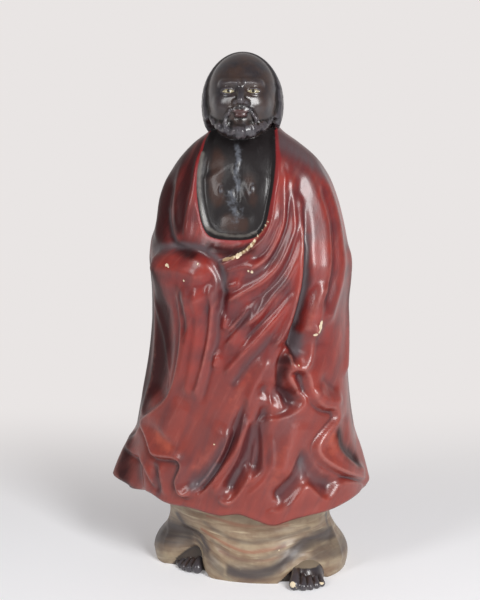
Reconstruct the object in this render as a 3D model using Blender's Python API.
# A standing robed figure, cast hollow in plaster in one piece and painted.
# The figure faces -Y, stands on z = 0 and is one solid: body, head and feet are joined.
# Proportions and carving are shares of the height: one share is a 450th part of it.
import math

import bmesh
import bpy
import numpy as np

HEIGHT = 0.450
SHARES_IN_HEIGHT = 450
SHARE = HEIGHT / SHARES_IN_HEIGHT

# Mesh density, and the triangles kept when flat places are thinned out
COLUMNS = 190
ROBE_ROWS = 120
SKIRT_ROWS = 22
FRONT_CROWDING = 0.35
CROWDING_ANGLE = 12
BODY_TRIANGLES = 7300
HEAD_TRIANGLES = 2200
FOOT_TRIANGLES = 420

# Robe and underskirt, in shares
COLLAR_TOP = 385
COLLAR_ROLL = 4
HEM_THICKNESS = 4
HEM_UNDERCUT = 8
SKIRT_TUCK = 2
SECTION_POWER = 2.25
CHEST_RECESS = 4.5
CHEST_FILLET = 5
BELOW_GROUND = 4
FOLD_DEPTH = 1.4
NARROWEST_FOLD = 2.5

# Head, in shares
HEAD_CENTRE = (-4.7, -8, 409)
HEAD_TURN = 12
HEAD_TILT = 15
HEAD_SEGMENTS = 72
HEAD_RINGS = 60
NECK_BOTTOM = (-2, 4, 352)
NECK_TOP = (-4, 0, 388)
NECK_RADIUS = 22

# Feet, in shares: the middle of each foot, where its toes point, and 1 for the left or -1 for the right
FEET = {"right_foot": ((-39, -31), -19, -1), "left_foot": ((61, -48), 19, 1)}
FOOT_SCALE = 1.2
FOOT_SEGMENTS = 36
FOOT_RINGS = 26

# Robe sections: height, half width, centre, front depth, back depth
ROBE_SECTIONS = (
    (60, 103, -3, 72, 70),
    (90, 101, -4, 71, 68),
    (111, 98, -4, 69, 66),
    (141, 93, -4, 67, 63),
    (162, 90, -3, 66, 60),
    (192, 87, -1, 65, 57),
    (218, 85, 0, 65, 55),
    (235, 84.5, 0, 66, 54),
    (258, 86, 0.5, 66, 54),
    (274, 87, 0.5, 65, 54),
    (289, 85, 0, 62, 53),
    (308, 81, 0, 58, 52),
    (329, 76, -1, 54, 50),
    (347, 68, -1, 49, 47),
    (362, 57, -1.5, 43, 42),
    (374, 43.5, -3, 35, 36),
    (383, 31, -3.5, 27, 30),
    (395, 24, -3.5, 20, 22),
)

# Underskirt sections, in the same order
SKIRT_SECTIONS = (
    (-10, 85, 1, 62, 63),
    (0, 86, 1, 63, 64),
    (5, 87, 1, 64, 65),
    (14, 87, 1, 64, 65),
    (21, 84, 1, 62, 63),
    (30, 77, 1, 59, 60),
    (40, 72.5, 0, 57, 58),
    (60, 73, 0, 57, 58),
    (80, 74, 0, 58, 59),
)

# Lower edge of the robe: angle round the body from the front, height
HEM_LINE = (
    (-180, 64), (-130, 68), (-95, 66), (-72, 68), (-53, 72), (-44, 68), (-26, 67),
    (-5, 63), (11, 65), (20, 61), (30, 57), (42, 62), (61, 67), (81, 71), (100, 71),
    (135, 67), (180, 64),
)

# Neckline: from the right shoulder down under the chest and up to the left shoulder
NECKLINE = (
    (-80, 390), (-62, 382), (-44, 370), (-39, 356), (-35, 340), (-31, 324), (-27, 310),
    (-21, 300.5), (-12, 297), (4, 296.5), (15, 298), (21, 301.5), (26, 309), (30, 322),
    (34, 338), (40, 358), (49, 372), (66, 382), (90, 390),
)

# Each fold: kind, half width at both ends, height at both ends, points as angle and height.
# An edge is raised on the left of its path; a trough has a flat floor and steep sides.
ROBE_FOLDS = (
    # Overlapping front panel and the folds beside the collar
    (
        "edge", (1.4, 1.4), (2.5, 3.5), (52, 374), (41, 358), (31, 322), (24, 302), (13, 291),
        (-2, 281.5), (-13, 277),
    ),
    ("groove", (1.8, 2.2), (1.2, 2.2), (51, 365), (43, 342), (34, 309), (25, 288), (13, 280)),
    ("ridge", (2.6, 2.6), (1.8, 3.2), (47, 358), (40, 330), (37, 310), (28, 289), (18, 277), (8, 271)),
    ("groove", (2, 2), (1, 2), (50, 345), (42, 315), (33, 288), (22, 271)),
    (
        "ridge", (2.4, 2.6), (1.8, 3.2), (51, 352), (46, 325), (44, 305), (35, 282), (24, 266),
        (10, 255), (-6, 244),
    ),
    ("groove", (2.2, 2.2), (1, 2.2), (52, 330), (47, 300), (38, 275), (26, 256), (12, 243)),
    ("ridge", (2.6, 2.8), (1.8, 3.2), (50, 315), (46, 290), (38, 266), (29, 252), (20, 236), (8, 224)),
    ("ridge", (1.6, 1.6), (1, 1), (-18, 292), (0, 290.5), (13, 294)),
    ("ridge", (1.8, 1.8), (1, 1), (-21, 287), (-4, 285), (5, 287)),
    # Right shoulder
    ("ridge", (2.6, 2.6), (1.2, 1.8), (-48, 372), (-40, 352), (-37, 335), (-38, 312), (-37, 292)),
    ("ridge", (4, 4), (1.2, 2), (-62, 362), (-53, 338), (-48, 315), (-43, 298)),
    ("groove", (4, 4), (1.5, 2.8), (-60, 345), (-59, 318), (-54, 302), (-45, 289), (-28, 281)),
    ("ridge", (5, 5), (1, 2), (-74, 350), (-70, 322), (-66, 300), (-60, 286)),
    # Right forearm under the cloth
    ("ridge", (16, 14), (3.5, 4.5), (-66, 262), (-46, 258), (-28, 252), (-18, 236)),
    ("ridge", (8, 8), (3.5, 4.5), (-64, 268), (-42, 271), (-26, 269), (-17, 260)),
    (
        "edge", (2.8, 3.2), (2.2, 3), (-22, 155), (-18, 183), (-12, 228), (-9, 255), (-11, 268),
        (-19, 279), (-34, 284), (-53, 281), (-66, 275),
    ),
    # Cloth hanging from the right forearm
    ("ridge", (2.6, 2.8), (1.6, 1.8), (-24, 158), (-21, 179), (-16, 208), (-13, 240), (-15, 262)),
    ("groove", (2.4, 2.4), (1.4, 1.4), (-16, 255), (-17, 226), (-21, 195), (-25, 165)),
    ("ridge", (4.5, 5), (1.8, 2.2), (-22, 262), (-24, 226), (-27, 194), (-30, 158)),
    ("ridge", (3.5, 4), (1.8, 1.6), (-31, 258), (-31, 226), (-34, 196), (-37, 170)),
    ("groove", (3, 3), (2, 1.5), (-37, 258), (-35, 234), (-34, 212)),
    (
        "edge", (1.8, 1.8), (2, 5.5), (-38, 256), (-39, 205), (-43, 168), (-53, 147), (-67, 130),
        (-60, 120), (-54, 110), (-50, 105), (-35, 106), (-31, 101), (-34, 86), (-27, 76), (-14, 90),
        (-2, 114), (6, 138),
    ),
    ("ridge", (9, 12), (1, 2.5), (-30, 158), (-38, 144), (-45, 122)),
    ("edge", (1.8, 1.8), (2, 3), (-68, 129), (-78, 103), (-60, 94), (-47, 74)),
    ("trough", (9, 11), (1.5, 4.5), (-53, 232), (-53, 200), (-56, 165)),
    ("ridge", (1.6, 1.6), (1.2, 1.6), (-71, 255), (-58, 218), (-49, 172)),
    ("ridge", (1.6, 1.8), (1.2, 1.8), (-67, 240), (-64, 185), (-69, 128)),
    ("ridge", (2, 2), (1, 1.4), (-78, 250), (-74, 195), (-76, 140)),
    ("ridge", (3, 3), (1.5, 2), (-45, 101), (-43, 87), (-41, 71)),
    ("groove", (2.4, 2.8), (2, 2.4), (-52, 99), (-48, 89), (-47, 73)),
    ("trough", (5, 7), (2, 3), (-66, 96), (-64, 72)),
    # Small creases and knobs inside the right elbow
    ("ridge", (1.8, 1.8), (1.6, 1.4), (20, 281), (7, 275), (-6, 270)),
    ("ridge", (1.7, 1.7), (1.4, 1.2), (7, 262), (-5, 256)),
    ("ridge", (1.5, 2), (1.4, 3), (24, 254), (14, 241), (4, 228), (-5, 217)),
    ("edge", (1.3, 1.3), (2, 2.6), (18, 246), (10, 230), (-6, 208)),
    ("ridge", (3, 3), (1.8, 1.8), (-3, 233), (-5, 221)),
    ("ridge", (3, 3), (1.8, 1.8), (-10, 200), (-12, 188)),
    ("trough", (4, 4), (1.4, 1.4), (-5, 253), (-6, 240)),
    ("trough", (4, 4), (1, 1), (-8, 214), (-9, 207)),
    # Long folds that sweep from the left shoulder to the right
    ("groove", (2.4, 2.4), (1, 2), (43, 262), (33, 243), (20, 226), (8, 210)),
    ("ridge", (2.8, 3.4), (2, 3), (42, 256), (34, 238), (22, 219), (8, 200), (-5, 181)),
    ("groove", (2.8, 3), (1, 1.6), (36, 228), (24, 207), (12, 190), (2, 172)),
    ("ridge", (2.8, 3.4), (2.4, 4), (54, 337), (49, 300), (46, 275), (43, 250), (38, 226), (28, 204)),
    ("ridge", (5, 3), (2, 2.4), (28, 200), (20, 178), (13, 152)),
    ("trough", (2.4, 3.8), (1, 5.5), (56, 332), (52, 290), (50, 262), (47, 236), (43, 210)),
    ("trough", (3.5, 5), (3, 4.5), (46, 222), (46, 205)),
    ("groove", (3, 3), (1.4, 2.2), (57, 352), (54, 320), (51, 288)),
    # Left upper arm and sleeve
    ("ridge", (4.5, 5), (2, 3.4), (66, 354), (67, 322), (66, 295), (63, 268), (57, 240), (53, 218)),
    ("groove", (3, 3), (1.4, 2.4), (73, 345), (73, 320), (71, 290), (67, 262), (59, 238)),
    ("ridge", (6, 6), (1.5, 3.4), (80, 362), (79, 330), (78, 298), (75, 268), (69, 242), (62, 222)),
    ("edge", (1.8, 1.8), (3, 5), (58, 264), (51, 237), (48, 216)),
    ("ridge", (2.2, 2.2), (2, 2.6), (52, 214), (54, 200), (50, 191), (44, 189)),
    ("ridge", (2.6, 2.6), (2, 2.4), (41, 204), (41, 195), (46, 191)),
    ("trough", (2.4, 3.2), (2, 2.4), (39, 210), (35, 192), (37, 174), (44, 160)),
    (
        "edge", (1.5, 1.5), (3.6, 3), (41, 203), (39, 190), (39, 182), (43, 173), (48, 165), (49, 160),
        (44, 153), (36, 149), (28, 147), (20, 141),
    ),
    ("ridge", (1.8, 1.8), (1.8, 1.8), (41, 186), (43, 178), (47, 170)),
    ("trough", (3.2, 3.2), (2.4, 2.4), (47, 181), (50, 170)),
    (
        "edge", (1.4, 1.4), (3.4, 4.6), (39, 180), (41, 186), (46, 187.5), (51, 182), (53, 170),
        (56, 160), (62, 153), (69, 150), (71, 143), (65, 136), (60, 130), (56, 122), (57, 113),
        (61, 106), (69, 97), (82, 86), (97, 75),
    ),
    ("ridge", (4, 4), (2.4, 2.4), (56, 174), (61, 163), (70, 158), (79, 158)),
    ("trough", (3, 3), (1.4, 1.4), (64, 178), (72, 168)),
    ("ridge", (3.5, 3), (2, 3), (71, 134), (69, 118), (76, 104), (96, 84)),
    ("trough", (6, 5), (1.5, 2.5), (80, 135), (78, 118), (86, 100)),
    ("ridge", (5, 5), (1.5, 2.4), (90, 290), (97, 245), (92, 205), (84, 172)),
    # Hollows and folds above the hem
    ("trough", (3, 7), (1.6, 4.6), (13, 160), (4, 130), (-8, 105), (-19, 88)),
    (
        "ridge", (1.5, 1.8), (1.6, 3), (14, 156), (9, 124), (-3, 100), (-15, 82), (-26, 76), (-33, 79),
        (-33, 87),
    ),
    ("ridge", (3.4, 4), (2, 2.6), (17, 150), (9, 114), (-4, 88), (-12, 79)),
    ("trough", (3, 6.5), (1.8, 4.6), (19, 140), (13, 112), (4, 89)),
    ("ridge", (1.5, 1.8), (1.6, 3), (22, 131), (19, 107), (13, 88), (4, 74), (-3, 75), (-5, 82)),
    ("trough", (4.5, 7), (3, 5), (27, 153), (23, 130), (20, 108)),
    ("ridge", (2, 2.2), (2, 3), (25, 148), (26, 125), (25, 104), (18, 94), (12, 94)),
    ("ridge", (2.2, 2.4), (1.6, 2), (31, 136), (29, 102), (13, 76)),
    ("trough", (6, 8), (3, 4), (27, 171), (42, 164)),
    ("ridge", (1.5, 1.5), (1.4, 1.4), (30, 176), (31, 156)),
    ("ridge", (1.5, 1.5), (1.4, 1.4), (37, 168), (39, 154)),
    ("ridge", (10, 10), (3, 3.4), (47, 148), (34, 94)),
    ("trough", (2.5, 6), (1.2, 3.8), (49, 118), (44, 96), (36, 82)),
    ("trough", (2.5, 6), (1.2, 3.6), (50, 114), (55, 95), (62, 88)),
    ("trough", (4, 5), (1.5, 1.5), (49, 108), (50, 98)),
    ("edge", (1.6, 1.6), (2.6, 2.6), (96, 75), (71, 88), (60, 77), (50, 90), (39, 74), (25, 66)),
    # Flared corners of the hem at both sides
    ("ridge", (7, 13), (2.7, 16), (-80, 120), (-80, 92), (-80, 64)),
    ("ridge", (7, 11), (1, 8), (101, 120), (102, 92), (102, 64)),
)

# Waves of the underskirt
SKIRT_FOLDS = (
    ("ridge", (3, 3.5), (1, 1.6), (-58, 53), (-26, 49), (10, 43), (54, 44), (80, 46)),
    ("ridge", (3.5, 4), (1.8, 2.6), (-60, 40), (-46, 38), (-22, 27), (6, 13), (30, 16), (48, 27), (66, 27)),
    ("ridge", (2, 2), (0.8, 1.2), (-50, 46), (-22, 38), (8, 27), (34, 30), (56, 37)),
    ("ridge", (2, 2), (0.8, 1.2), (-80, 40), (-66, 26), (-60, 12)),
    ("ridge", (2.4, 2.4), (1, 1.6), (-52, 30), (-43, 30), (-32, 24), (-22, 10)),
    ("ridge", (2.4, 2.4), (1, 1.6), (38, 14), (47, 23), (57, 21), (68, 10)),
    ("ridge", (2.4, 2.4), (1, 1.6), (92, 44), (84, 26), (80, 8)),
    ("ridge", (2.4, 2.4), (1.2, 1.6), (-30, 21), (-14, 9), (8, 3), (28, 6), (42, 18)),
    (
        "trough", (3, 4), (1.5, 2.5), (-70, 26), (-52, 33), (-32, 33), (-12, 19), (14, 14), (34, 15),
        (54, 31), (78, 27),
    ),
    # Hollow over the right foot
    ("trough", (22, 20), (12, 12), (-43, -10), (-42, 20)),
)

# Bottom edge of the underskirt, lifted over both feet: angle, height
SKIRT_EDGE = (
    (-180, -3), (-90, -3), (-66, -3), (-60, 2), (-54, 12), (-48, 20), (-41, 22), (-34, 18),
    (-28, 8), (-22, 0), (-14, -3), (10, -4), (32, -3), (38, 5), (44, 13), (50, 15.5), (57, 13),
    (63, 4), (69, -3), (100, -3), (180, -3),
)
SKIRT_EDGE_RECESS = 5

# Folds of the back: nested loops under the nape and flutes down to the hem
BACK_LOOPS = 4
BACK_LOOP_TOP = 352
BACK_LOOP_STEP = 24
BACK_FLUTES = 9
BACK_FLUTE_SPREAD = (118, 246)
BACK_FLUTE_TOP = 262


def clear_scene():
    for item in list(bpy.data.objects):
        bpy.data.objects.remove(item)


def from_table(at, rows, column=1):
    """A smooth curve through one column of a table, read at the values given."""
    table = np.array(rows, float)
    known, values = table[:, 0], table[:, column]
    slopes = np.gradient(values, known)
    index = np.clip(np.searchsorted(known, at) - 1, 0, len(known) - 2)
    span = known[index + 1] - known[index]
    part = np.clip((at - known[index]) / span, 0, 1)
    square, cube = part**2, part**3
    return (
        (2 * cube - 3 * square + 1) * values[index]
        + (cube - 2 * square + part) * span * slopes[index]
        + (3 * square - 2 * cube) * values[index + 1]
        + (cube - square) * span * slopes[index + 1]
    )


def smooth_step(value):
    value = np.clip(value, 0, 1)
    return value * value * (3 - 2 * value)


def section_radius(angle, height, sections):
    """Distance from the section's own centre, at an angle from the front in radians."""
    half_width, front, back = (from_table(height, sections, column) for column in (1, 3, 4))
    depth = np.where(np.cos(angle) > 0, front, back)
    across = np.abs(np.sin(angle) / half_width) ** SECTION_POWER
    along = np.abs(np.cos(angle) / depth) ** SECTION_POWER
    return (across + along) ** (-1 / SECTION_POWER)


def unrolled(angle_degrees, height, sections):
    """Where an angle and a height lie on the surface when it is laid out flat, in shares."""
    mean_radius = (from_table(height, sections, 1) + from_table(height, sections, 3)) / 2
    return np.radians(angle_degrees) * mean_radius


def path_through(points, sections, spacing=2.0):
    """A smooth path through points given as angle and height, laid out flat."""
    corners = np.array(points, float)
    flat = np.stack([unrolled(corners[:, 0], corners[:, 1], sections), corners[:, 1]], 1)
    if len(flat) == 2:
        flat = np.stack([flat[0], flat.mean(0), flat[1]])
    ends = np.concatenate([[2 * flat[0] - flat[1]], flat, [2 * flat[-1] - flat[-2]]])
    path = []
    for before, start, end, after in zip(ends, ends[1:], ends[2:], ends[3:]):
        steps = max(2, int(np.linalg.norm(end - start) / spacing))
        t = np.linspace(0, 1, steps, endpoint=False)[:, None]
        path.append(
            0.5 * (2 * start + (end - before) * t + (2 * before - 5 * start + 4 * end - after) * t**2
                   + (3 * start - before - 3 * end + after) * t**3)
        )
    return np.concatenate([*path, flat[-1:]])


def nearest_on_path(points, path):
    """Distance to a path, how far along it the nearest place is, and which side: 1 is left."""
    start, step = path[:-1], np.diff(path, axis=0)
    length = np.maximum(np.linalg.norm(step, axis=1), 1e-9)
    offset = points[:, None, :] - start[None]
    part = np.clip((offset * step).sum(2) / length**2, 0, 1)
    gap = offset - part[..., None] * step
    distance = np.linalg.norm(gap, axis=2)
    best = distance.argmin(1)
    rows = np.arange(len(points))
    run = np.concatenate([[0], np.cumsum(length)])
    along = (run[best] + part[rows, best] * length[best]) / run[-1]
    toward = step[best]
    nearest_offset = offset[rows, best]
    side = np.sign(toward[:, 0] * nearest_offset[:, 1] - toward[:, 1] * nearest_offset[:, 0])
    return distance[rows, best], along, side


FOLD_REACH = {"ridge": 3.5, "groove": 3.5, "trough": 2.2, "edge": 14}
EDGE_FADE = 9.0
END_FADE = 12.0


def fold_relief(flat, kind, widths, heights, path):
    """Height that one fold adds at each flat place."""
    relief = np.zeros(len(flat))
    reach = max(NARROWEST_FOLD, *widths) * FOLD_REACH[kind]
    low, high = path.min(0) - reach, path.max(0) + reach
    near = np.where(((flat > low) & (flat < high)).all(1))[0]
    if not len(near):
        return relief
    distance, along, side = nearest_on_path(flat[near], path)
    width = np.maximum(widths[0] + (widths[1] - widths[0]) * along, NARROWEST_FOLD)
    height = heights[0] + (heights[1] - heights[0]) * along
    if kind == "trough":
        relief[near] = -height / (1 + (distance / width) ** 4)
        return relief
    run = np.linalg.norm(np.diff(path, axis=0), axis=1).sum()
    ramp = min(0.2 * run, END_FADE)
    fade = smooth_step(along * run / ramp) * smooth_step((1 - along) * run / ramp)
    if kind == "edge":
        signed = distance * side
        raised = smooth_step((signed + width) / (2 * width)) * np.exp(-np.maximum(signed, 0) / EDGE_FADE)
        foot = 0.35 * np.exp(-((signed + 1.2 * width) / width) ** 2)
        relief[near] = height * fade * (raised - foot)
        return relief
    bump = height * fade / np.cosh(1.5 * distance / width)
    relief[near] = bump if kind == "ridge" else -bump
    return relief


def back_folds():
    """Loops that hang between the shoulders and flutes below them."""
    folds = []
    for loop in range(BACK_LOOPS):
        top = BACK_LOOP_TOP - loop * BACK_LOOP_STEP
        sag = 16 + 9 * loop
        spread = 46 + 7 * loop
        points = [(180 + share * spread, top - sag * (1 - share**2)) for share in (-1, -0.5, 0.1, 0.6, 1)]
        folds.append(("ridge", (3.5, 3.5), (2 + 0.5 * loop, 2.2), *points))
    first, last = BACK_FLUTE_SPREAD
    for flute in range(BACK_FLUTES):
        share = flute / (BACK_FLUTES - 1)
        top = first + (last - first) * (0.5 + 0.72 * (share - 0.5))
        bottom = first + (last - first) * share
        start = BACK_FLUTE_TOP - 34 * math.sin(math.pi * share) + (flute % 2) * 22
        points = [(top, start), (top * 0.6 + bottom * 0.4 + 2, start * 0.55 + 30), (bottom, 66)]
        folds.append(("ridge", (4, 6.5), (1.5, 4.5), *points))
        if flute:
            between = bottom - (last - first) / (BACK_FLUTES - 1) / 2
            folds.append(("trough", (2.5, 5), (1, 3.5), (between - 1, 150 + 12 * (flute % 3)), (between, 64)))
    for angle in (-96, 112):
        folds.append(("ridge", (4, 6), (1.5, 3.5), (angle, 250), (angle - 4, 170), (angle, 66)))
        folds.append(("ridge", (3, 4), (1.2, 2.4), (angle + 14, 300), (angle + 10, 200), (angle + 9, 66)))
    return folds


def relief_at(angle_degrees, height, folds, sections):
    """Sum of all folds at each place, trying each fold on both sides of the seam."""
    total = np.zeros(angle_degrees.size)
    turned = [
        np.stack([unrolled(angle_degrees.ravel() + turn, height.ravel(), sections), height.ravel()], 1)
        for turn in (-360, 0, 360)
    ]
    for kind, widths, heights, *points in folds:
        path = path_through(points, sections)
        for flat in turned:
            total += fold_relief(flat, kind, widths, heights, path)
    return total.reshape(angle_degrees.shape)


def neckline_depth(angle_degrees, height):
    """Distance inside the neckline, laid out flat: negative on the cloth."""
    path = path_through(NECKLINE, ROBE_SECTIONS)
    flat = np.stack([unrolled(angle_degrees.ravel(), height.ravel(), ROBE_SECTIONS), height.ravel()], 1)
    near = (flat[:, 1] > path[:, 1].min() - 20) & (np.abs(angle_degrees.ravel()) < 110)
    depth = np.full(len(flat), -50.0)
    distance, _, side = nearest_on_path(flat[near], path)
    depth[near] = distance * side
    return depth.reshape(angle_degrees.shape)


def chest_relief(angle_degrees, height):
    """The bare chest, sunk below the cloth, with breast muscles and breastbone."""
    depth = neckline_depth(angle_degrees, height)
    sunk = -CHEST_RECESS * smooth_step(depth / CHEST_FILLET)
    inside = smooth_step((depth - 1) / 4)
    muscles = relief_at(
        angle_degrees,
        height,
        (
            ("ridge", (12, 10), (1.6, 1.8), (-30, 352), (-20, 338), (-8, 330)),
            ("ridge", (12, 10), (1.6, 1.8), (34, 352), (22, 338), (10, 330)),
            ("ridge", (1.8, 1.8), (1.4, 1.4), (-15.5, 337), (-12.5, 337)),
            ("ridge", (1.8, 1.8), (1.4, 1.4), (15.5, 338), (18.5, 338)),
            ("ridge", (1.8, 2.4), (1.6, 1.2), (-2, 368), (2, 360), (0, 353), (4, 346), (1, 340)),
            ("ridge", (2, 2.4), (1, 1.2), (-8, 338), (-2, 332), (3, 326), (10, 330)),
            ("groove", (3, 4), (0.8, 1.6), (3, 350), (1, 330), (2, 316)),
            ("groove", (5, 5), (1, 1), (-20, 313), (0, 317), (20, 313)),
        ),
        ROBE_SECTIONS,
    )
    return sunk + inside * muscles, depth


def robe_radius(angle, height):
    """Outside of the robe and the bare chest, at each angle and height."""
    degrees = np.degrees(angle)
    chest, depth = chest_relief(degrees, height)
    on_cloth = smooth_step((1.5 - depth) / 2.5)
    folds = relief_at(degrees, height, [*ROBE_FOLDS, *back_folds()], ROBE_SECTIONS)
    return section_radius(angle, height, ROBE_SECTIONS) + chest + FOLD_DEPTH * folds * on_cloth


def skirt_radius(angle, height):
    """Outside of the underskirt, sunk below its lifted bottom edge."""
    degrees = np.degrees(angle)
    edge = from_table(degrees, SKIRT_EDGE)
    below = SKIRT_EDGE_RECESS * smooth_step((edge - height) / 2 + 0.5)
    folds = relief_at(degrees, height, SKIRT_FOLDS, SKIRT_SECTIONS)
    return section_radius(angle, height, SKIRT_SECTIONS) + folds - below


def crowded_angles(count):
    """Angles round the body, closer together at the front, from -180 to 180 degrees."""
    turn = np.linspace(-math.pi, math.pi, count, endpoint=False)
    angle = turn - FRONT_CROWDING * np.sin(turn) + math.radians(CROWDING_ANGLE)
    return np.where(angle > math.pi, angle - 2 * math.pi, angle)


def body_rings():
    """Rings of the body from the collar down to below the ground, in shares."""
    angle = crowded_angles(COLUMNS)
    hem = from_table(np.degrees(angle), HEM_LINE)
    fall = np.linspace(0, 1, ROBE_ROWS)[:, None]
    robe_height = COLLAR_TOP + (hem[None] - COLLAR_TOP) * fall
    all_angles = np.broadcast_to(angle, robe_height.shape)
    robe = robe_radius(all_angles, robe_height)
    robe_centre = from_table(robe_height, ROBE_SECTIONS, 2)

    top, top_height, top_centre = robe[0], robe_height[0], robe_centre[0]
    rings = [
        (0.45 * top, top_height - 6, top_centre),
        (0.62 * top, top_height - 1, top_centre),
        (top - 0.6 * COLLAR_ROLL, top_height + 1.5, top_centre),
    ]
    rings += list(zip(robe, robe_height, robe_centre))

    rim, rim_centre = robe[-1], robe_centre[-1]
    rings += [
        (rim - 0.25 * HEM_THICKNESS, hem - 0.45 * HEM_THICKNESS, rim_centre),
        (rim - HEM_THICKNESS, hem - 0.6 * HEM_THICKNESS, rim_centre),
        (rim - HEM_UNDERCUT, hem, rim_centre),
    ]

    skirt_top = hem + SKIRT_TUCK
    fall = np.linspace(0, 1, SKIRT_ROWS)[:, None]
    skirt_height = skirt_top[None] + (-BELOW_GROUND - skirt_top[None]) * fall
    skirt = skirt_radius(np.broadcast_to(angle, skirt_height.shape), skirt_height)
    rings += list(zip(skirt, skirt_height, from_table(skirt_height, SKIRT_SECTIONS, 2)))
    return angle, rings


def loft(name, angle, rings):
    """A closed surface over rings of unlike shape, with a fan at both ends."""
    mesh = bmesh.new()
    rows = []
    for radius, height, centre in rings:
        across = np.broadcast_to(radius * np.sin(angle) + centre, angle.shape)
        along = np.broadcast_to(-radius * np.cos(angle), angle.shape)
        up = np.broadcast_to(height, angle.shape)
        rows.append([mesh.verts.new(SHARE * np.array(point)) for point in zip(across, along, up)])
    for upper, lower in zip(rows, rows[1:]):
        for i in range(len(angle)):
            j = (i + 1) % len(angle)
            mesh.faces.new((upper[i], lower[i], lower[j], upper[j]))
    for row, backwards in ((rows[0], False), (rows[-1], True)):
        middle = mesh.verts.new(sum((v.co for v in row), row[0].co * 0) / len(row))
        for i in range(len(row)):
            j = (i + 1) % len(row)
            mesh.faces.new((row[j], row[i], middle) if backwards else (row[i], row[j], middle))
    return finished(name, mesh)


def finished(name, mesh):
    """An object from a bmesh, shaded smooth."""
    bmesh.ops.recalc_face_normals(mesh, faces=mesh.faces)
    data = bpy.data.meshes.new(name)
    mesh.to_mesh(data)
    mesh.free()
    data.shade_smooth()
    made = bpy.data.objects.new(name, data)
    bpy.context.scene.collection.objects.link(made)
    return made


def ellipsoid(points, centre, radii):
    """Roughly the distance to an ellipsoid: negative inside."""
    scaled = (points - centre) / radii
    outer = np.linalg.norm(scaled, axis=-1)
    inner = np.linalg.norm(scaled / radii, axis=-1)
    return outer * (outer - 1) / np.maximum(inner, 1e-9)


def rod(points, start, end, start_radius, end_radius):
    """Distance to a rod with round ends and a radius that tapers."""
    start, end = np.array(start, float), np.array(end, float)
    offset = points - start
    part = np.clip(offset @ (end - start) / ((end - start) @ (end - start)), 0, 1)
    gap = np.linalg.norm(offset - part[..., None] * (end - start), axis=-1)
    return gap - (start_radius + (end_radius - start_radius) * part)


def merged(first, second, softness):
    """Two shapes joined with a soft fillet."""
    mix = np.clip(0.5 + 0.5 * (second - first) / softness, 0, 1)
    return second * (1 - mix) + first * mix - softness * mix * (1 - mix)


def carved(body, cutter, softness):
    """One shape sunk into another with soft rims."""
    return -merged(-body, cutter, softness)


def head_shape(points):
    """Distance to the head in its own frame, where the face looks towards -Y."""
    face = ellipsoid(points, (0, 1, 2), (30.5, 34.5, 38))
    face = merged(face, ellipsoid(points, (0, -9, -9), (23.5, 24, 25.5)), 8)
    both_sides = (points, points * (-1, 1, 1))
    for side in both_sides:
        face = merged(face, ellipsoid(side, (14, -22, -8), (8, 8, 7.5)), 5)
        face = merged(face, rod(side, (3, -33, 7), (16, -27.5, 8), 2.4, 1.8), 4)
        face = carved(face, ellipsoid(side, (10.5, -36, 1.2), (7.4, 5.6, 4.6)), 3)
    for side in both_sides:
        face = merged(face, ellipsoid(side, (10.5, -26.4, 0.6), (6.6, 6, 3.8)), 0.8)
    nose = rod(points, (0, -31.5, 5), (0, -38, -8.5), 2.4, 3.3)
    for side in both_sides:
        nose = merged(nose, ellipsoid(side, (3.8, -34.8, -9.6), (2.8, 3.4, 2.5)), 1.6)
    face = merged(face, nose, 2.4)
    face = merged(face, ellipsoid(points, (0, -33, -16.6), (6.8, 2.6, 1.5)), 1.2)
    face = merged(face, ellipsoid(points, (0, -32.2, -19.6), (5.6, 2.7, 1.8)), 1)
    face = merged(face, ellipsoid(points, (0, -26, -28), (8, 6.5, 6)), 4)
    return merged(merged(face, beard_shape(points), 1.5), hair_shape(points), 1)


def beard_shape(points):
    """A short beard along the jaw, and a thin moustache that droops round the mouth."""
    beard = np.full(points.shape[:-1], 99.0)
    jaw = ((27.5, -6, -8), (24, -12, -19), (17.5, -21, -26.5), (9, -28, -31.5), (0, -30.5, -33.5))
    width = (1.8, 2.4, 3, 4, 4.6)
    lip = ((1.4, -34.5, -13), (8.5, -31.5, -15.4), (12, -28.5, -21), (12.5, -26, -28))
    for side in (points, points * (-1, 1, 1)):
        for start, end, first, last in zip(jaw, jaw[1:], width, width[1:]):
            beard = merged(beard, rod(side, start, end, first, last), 1.5)
        for start, end in zip(lip, lip[1:]):
            beard = merged(beard, rod(side, start, end, 1.5, 1.5), 1)
    return beard


def hair_shape(points):
    """Straight hair from behind the crown, over the ears and down to the nape."""
    x, y, z = points[..., 0], points[..., 1], points[..., 2]
    shell = ellipsoid(points, (0, 4, -3), (34.8, 37, 45))
    strands = 0.5 * np.cos(30 * np.arctan2(x, y + 6)) * smooth_step((28 - z) / 30)
    front = -5 - 5 * smooth_step((32 - z) / 34) - y
    bottom = -18 - 14 * smooth_step((y + 4) / 22) - z
    hair = carved_by(carved_by(shell + strands, front, 2.4), bottom, 3)
    lock = rod(points, (31, -3, -6), (31, -5, -22), 3.6, 1.3)
    return merged(hair, lock, 2)


def carved_by(first, second, softness):
    """The part of one shape that lies inside another, with a soft edge."""
    return -merged(-first, -second, softness)


def turned_into_head(points):
    """Points of the figure brought into the head's own frame."""
    turn, tilt = math.radians(HEAD_TURN), math.radians(HEAD_TILT)
    x, y, z = (points - np.array(HEAD_CENTRE, float)).T
    x, y = x * math.cos(turn) + y * math.sin(turn), -x * math.sin(turn) + y * math.cos(turn)
    y, z = y * math.cos(tilt) - z * math.sin(tilt), y * math.sin(tilt) + z * math.cos(tilt)
    return np.stack([x, y, z], 1)


def head_and_neck(points):
    neck = rod(points, NECK_TOP, NECK_BOTTOM, NECK_RADIUS, NECK_RADIUS + 2)
    return merged(head_shape(turned_into_head(points)), neck, 3)


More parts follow.
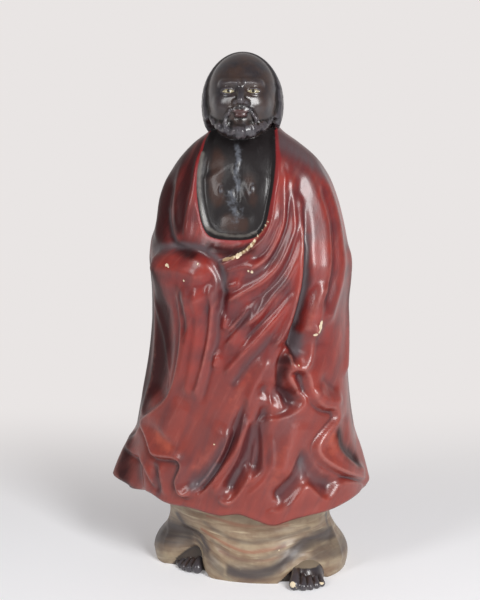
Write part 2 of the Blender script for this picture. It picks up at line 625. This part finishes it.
def foot_shape(points):
    """Front of a left foot that points towards -Y, with its big toe at -X."""
    points = points / FOOT_SCALE
    foot = ellipsoid(points, (1, 9, 4), (14, 21, 15))
    toes = ((-9, -18.5, 4.2), (-3, -19, 3.1), (2, -18, 2.9), (6.8, -15.5, 2.8), (11, -12, 2.6))
    for across, along, radius in toes:
        heel = (across * 0.7, along + 17, radius + 6)
        knuckle = (across * 0.9, along + 8, radius + 2.6)
        tip = (across, along + radius, radius - 0.4)
        foot = merged(foot, rod(points, heel, knuckle, radius * 0.7, radius * 0.75), 0.8)
        foot = merged(foot, rod(points, knuckle, tip, radius * 0.8, radius), 0.4)
    return foot * FOOT_SCALE


def pushed_out(name, segments, rings, centre, distance_to, reach):
    """A sphere whose points are moved in and out until they lie on a shape."""
    mesh = bmesh.new()
    bmesh.ops.create_uvsphere(mesh, u_segments=segments, v_segments=rings, radius=1)
    directions = np.array([v.co for v in mesh.verts])
    directions /= np.linalg.norm(directions, axis=1)[:, None]
    travel = np.full(len(directions), float(reach))
    for _ in range(60):
        travel -= 0.7 * distance_to(centre + travel[:, None] * directions)
        travel = np.clip(travel, 1, reach)
    for vert, place in zip(mesh.verts, centre + travel[:, None] * directions):
        vert.co = SHARE * place
    return finished(name, mesh)


def make_head():
    return pushed_out("head", HEAD_SEGMENTS, HEAD_RINGS, np.array(HEAD_CENTRE, float), head_and_neck, 80)


def make_foot(name, place, heading, side):
    """A foot set on the ground; side is 1 for the left foot and -1 for its mirror image."""
    turn = math.radians(heading)

    def distance_to(points):
        x, y = points[:, 0] - place[0], points[:, 1] - place[1]
        across = x * math.cos(turn) + y * math.sin(turn)
        along = -x * math.sin(turn) + y * math.cos(turn)
        return foot_shape(np.stack([side * across, along, points[:, 2]], 1))

    return pushed_out(name, FOOT_SEGMENTS, FOOT_RINGS, np.array([*place, 4.0]), distance_to, 40)


def joined(body, other):
    """A Boolean union that keeps only the first object."""
    union = body.modifiers.new("join_" + other.name, "BOOLEAN")
    union.operation = "UNION"
    union.object = other
    bake(body)
    bpy.data.objects.remove(other)


def bake(item):
    """Turn an object's modifiers into its mesh."""
    graph = bpy.context.evaluated_depsgraph_get()
    data = bpy.data.meshes.new_from_object(item.evaluated_get(graph))
    item.modifiers.clear()
    item.data = data


def thinned(item, triangles):
    """The same object with fewer triangles where its surface is flat."""
    item.data.calc_loop_triangles()
    thin = item.modifiers.new("thin", "DECIMATE")
    thin.ratio = triangles / len(item.data.loop_triangles)
    bake(item)
    return item


def cut_flat(item):
    """The underside cut flat at the ground."""
    mesh = bmesh.new()
    size = 2 * HEIGHT
    bmesh.ops.create_cube(mesh, size=size)
    bmesh.ops.translate(mesh, verts=mesh.verts, vec=(0, 0, -size / 2))
    cutter = finished("ground", mesh)
    cut = item.modifiers.new("ground", "BOOLEAN")
    cut.operation = "DIFFERENCE"
    cut.object = cutter
    bake(item)
    bpy.data.objects.remove(cutter)


def centred(item):
    """Moved so that the middle of its outline is over the origin and its crown is at full height."""
    points = np.array([v.co for v in item.data.vertices])
    low, high = points.min(0), points.max(0)
    scale = HEIGHT / (high[2] - low[2])
    for vert, place in zip(item.data.vertices, points):
        vert.co = (place - (*((low + high) / 2)[:2], low[2])) * scale


def painted(item):
    """The whole casting in the dark ground colour of the paint."""
    paint = bpy.data.materials.new("painted_plaster")
    paint.use_nodes = True
    shader = paint.node_tree.nodes["Principled BSDF"]
    shader.inputs["Base Color"].default_value = (0.26, 0.045, 0.03, 1)
    shader.inputs["Roughness"].default_value = 0.42
    item.data.materials.clear()
    item.data.materials.append(paint)


def make_statue():
    clear_scene()
    angle, rings = body_rings()
    statue = thinned(loft("statue", angle, rings), BODY_TRIANGLES)
    joined(statue, thinned(make_head(), HEAD_TRIANGLES))
    for name, (place, heading, side) in FEET.items():
        joined(statue, thinned(make_foot(name, place, heading, side), FOOT_TRIANGLES))
    cut_flat(statue)
    centred(statue)
    painted(statue)
    group = bpy.data.collections.new("bodhidharma statue")
    bpy.context.scene.collection.children.link(group)
    bpy.context.scene.collection.objects.unlink(statue)
    group.objects.link(statue)


make_statue()
